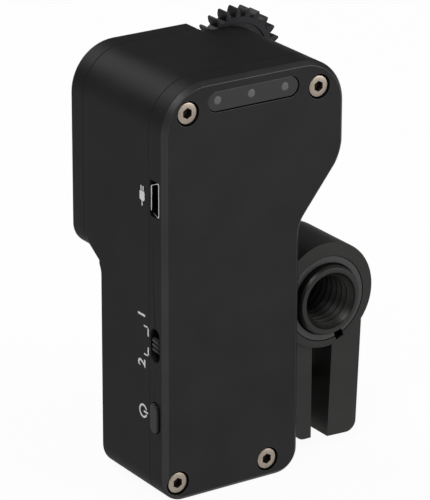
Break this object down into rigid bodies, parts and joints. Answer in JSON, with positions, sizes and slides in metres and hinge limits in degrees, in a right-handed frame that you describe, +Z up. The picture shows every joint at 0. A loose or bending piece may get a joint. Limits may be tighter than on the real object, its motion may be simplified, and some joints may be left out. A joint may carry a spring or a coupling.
{
  "type": "follow focus unit",
  "caption": "Geared follow focus unit: a stepped black housing with an exposed focus gear at its top corner, side controls, and a split clamp that holds a 15 mm rod.",
  "frame": {"origin": "centre of the flat bottom of the narrow lower housing", "axes": "+Z up, -Y out of the front cover, +X towards the rod clamp"},
  "size_m": [0.0554, 0.0637, 0.0919],
  "materials": {
    "black_housing": "fine satin black anodising",
    "clamp_metal": "satin black anodising",
    "steel": "nickel plated steel",
    "dark_steel": "black oxide steel",
    "gear_metal": "hard black anodised aluminium",
    "gear_plastic": "natural acetal",
    "brass": "turned",
    "window": "smoke tinted",
    "lamp": "clear",
    "board": "solder mask",
    "black_plastic": "moulded",
    "can": "drawn can",
    "magnet": "sintered",
    "liner": "moulded bush",
    "rod": "black anodised aluminium"
  },
  "bodies": {
    "housing": {"front_cover": "black_housing", "main_housing": "black_housing", "back_cover": "black_housing", "front_cover_screws": "steel", "back_cover_screws": "steel", "indicator_window": "window", "indicator_lamps": "lamp", "lamp_board": "board", "main_board": "board", "board_screws": "dark_steel", "usb_socket_shell": "steel", "usb_contact_tongue": "black_plastic", "mode_switch_body": "black_plastic", "button_switch": "black_plastic", "gear_axle": "dark_steel", "gear_washer": "dark_steel", "gear_screw": "dark_steel", "front_shaft_bearing": "steel", "rear_shaft_bearing": "steel", "idler_pin": "steel", "gearbox_plate": "dark_steel", "gearbox_screws": "dark_steel", "motor_can": "can", "motor_end_cap": "black_plastic", "motor_magnet": "magnet", "motor_screws": "dark_steel", "clamp_body": "clamp_metal", "clamp_liner": "liner", "clamp_bolts": "dark_steel"},
    "focus_gear": {"focus_gear": "gear_metal", "gear_bush": "brass"},
    "pinion": {"drive_pinion": "steel", "pinion_shaft": "steel", "shaft_wheel": "gear_plastic"},
    "idler": {"idler_gear": "gear_plastic"},
    "rotor": {"motor_rotor": "steel", "motor_pinion": "brass"},
    "slider": {"mode_slider": "black_plastic"},
    "button": {"power_button": "black_plastic"},
    "clamp_screw": {"clamp_screw": "dark_steel"},
    "rod": {"support_rod": "rod"}
  },
  "joints": [
    {"name": "focus_gear_turn", "type": "hinge", "parent": "housing", "child": "focus_gear", "pos_m": [0.0197, 0.01745, 0.0815], "axis": [0, 1, 0], "continuous": true},
    {"name": "pinion_turn", "type": "hinge", "parent": "housing", "child": "pinion", "pos_m": [0.00883, 0.01745, 0.07205], "axis": [0, 1, 0], "continuous": true},
    {"name": "idler_turn", "type": "hinge", "parent": "housing", "child": "idler", "pos_m": [0.00056, 0.00985, 0.06559], "axis": [0, 1, 0], "continuous": true},
    {"name": "motor_turn", "type": "hinge", "parent": "housing", "child": "rotor", "pos_m": [0.00019, 0.00285, 0.05509], "axis": [0, 1, 0], "continuous": true},
    {"name": "mode_slide", "type": "slide", "parent": "housing", "child": "slider", "axis": [0, 0, 1], "range_m": [-0.0012, 0.0012]},
    {"name": "power_press", "type": "slide", "parent": "housing", "child": "button", "axis": [1, 0, 0], "range_m": [0, 0.0004], "stiffness_N_per_m": 400},
    {"name": "clamp_screw_turn", "type": "hinge", "parent": "housing", "child": "clamp_screw", "pos_m": [0.02845, 0.00375, 0.013], "axis": [1, 0, 0], "range_deg": [-360, 360]},
    {"name": "rod_slide", "type": "slide", "parent": "housing", "child": "rod", "axis": [0, 1, 0], "range_m": [-0.025, 0.0012]}
  ],
  "couplings": [
    {"joint": "pinion_turn", "follows": "focus_gear_turn", "ratio": -2},
    {"joint": "idler_turn", "follows": "focus_gear_turn", "ratio": 5},
    {"joint": "motor_turn", "follows": "focus_gear_turn", "ratio": -12.5}
  ]
}
